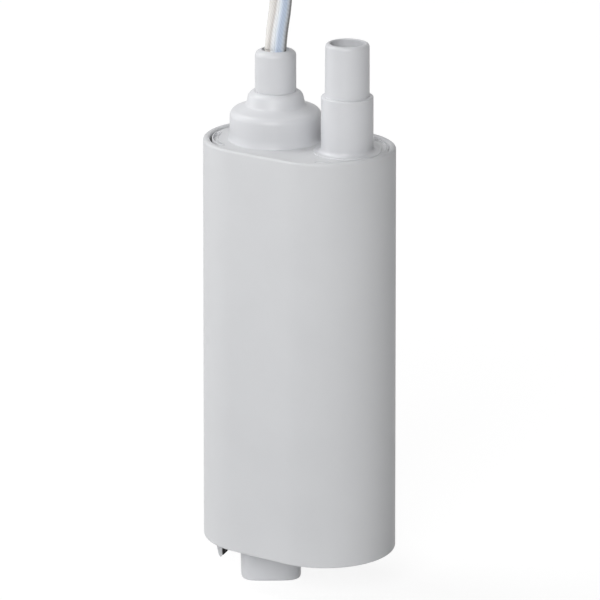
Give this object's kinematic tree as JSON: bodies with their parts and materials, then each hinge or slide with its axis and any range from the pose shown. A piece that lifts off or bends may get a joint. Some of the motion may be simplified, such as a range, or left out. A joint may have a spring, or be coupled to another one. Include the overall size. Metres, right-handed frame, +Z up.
{
  "type": "submersible pump",
  "caption": "Slim oval submersible water pump with a stepped hose spigot, a cable gland with flat twin flex and an inlet nub at its foot.",
  "frame": {"origin": "on the floor under the middle of the oval casing; the foot of the inlet nub stands on Z = 0", "axes": "+X along the oval's long axis, from the motor and gland side to the hose spigot side; -Y is the side shown in front; +Z up, along the casing and the motor's shaft"},
  "size_m": [0.0723, 0.1342, 0.1919],
  "materials": {
    "shell_abs": "moulded light grey ABS, satin",
    "spigot_abs": "moulded light grey ABS, satin",
    "inner_plastic": "moulded glass-filled nylon",
    "impeller_plastic": "moulded acetal",
    "endbell_plastic": "moulded nylon",
    "riser_pvc": "extruded PVC pipe",
    "black_rubber": "moulded EPDM",
    "grey_rubber": "nitrile rubber",
    "clear_pvc": "clear PVC insulation over copper strands",
    "blue_pvc": "light blue PVC insulation",
    "tinned_copper": "tinned copper strands",
    "can_steel": "zinc-plated drawn steel",
    "shaft_steel": "ground stainless steel",
    "screw_steel": "zinc-plated steel",
    "silicon_steel": "stacked silicon steel, epoxy coated",
    "ferrite": "sintered ferrite",
    "copper": "enamelled copper wire",
    "bronze": "sintered bronze",
    "spring_brass": "rolled spring bronze",
    "phenolic": "moulded phenolic",
    "brush_carbon": "copper graphite",
    "ceramic": "dipped ceramic disc"
  },
  "bodies": {
    "housing": {"casing": "shell_abs", "top_cap": "shell_abs", "top_cap_seal": "grey_rubber", "gland_body": "spigot_abs", "cable_sleeve": "spigot_abs", "cable_seal": "grey_rubber", "seal_retainer": "spigot_abs", "hose_spigot": "spigot_abs", "riser_pipe": "riser_pvc", "riser_seals": "grey_rubber", "bottom_cap": "shell_abs", "bottom_cap_seal": "grey_rubber", "bleed_valve": "black_rubber", "inlet_nub": "spigot_abs", "inlet_strainer": "spigot_abs", "chamber_cover": "inner_plastic", "chamber_gasket": "grey_rubber", "pump_chamber": "inner_plastic", "cover_screws": "screw_steel", "shaft_seal": "black_rubber", "seal_plate": "inner_plastic", "motor_screws": "screw_steel", "motor_can": "can_steel", "magnets": "ferrite", "lower_bearing": "bronze", "upper_bearing": "bronze", "motor_endbell": "endbell_plastic", "brushes": "brush_carbon", "brush_arms": "spring_brass", "motor_terminals": "tinned_copper", "suppressor": "ceramic", "centring_plate": "inner_plastic", "cable_tail": "clear_pvc", "lead_positive": "clear_pvc", "lead_negative": "blue_pvc", "cable_run": "clear_pvc", "cable_coil": "clear_pvc", "core_end_positive": "clear_pvc", "core_end_negative": "blue_pvc", "tinned_tips": "tinned_copper"},
    "rotor": {"impeller": "impeller_plastic", "motor_shaft": "shaft_steel", "armature_core": "silicon_steel", "armature_windings": "copper", "commutator_sleeve": "phenolic", "commutator_segments": "copper"}
  },
  "joints": [
    {"name": "rotor_spin", "type": "hinge", "parent": "housing", "child": "rotor", "pos_m": [-0.0075, 0, 0.045], "axis": [0, 0, 1], "continuous": true}
  ]
}
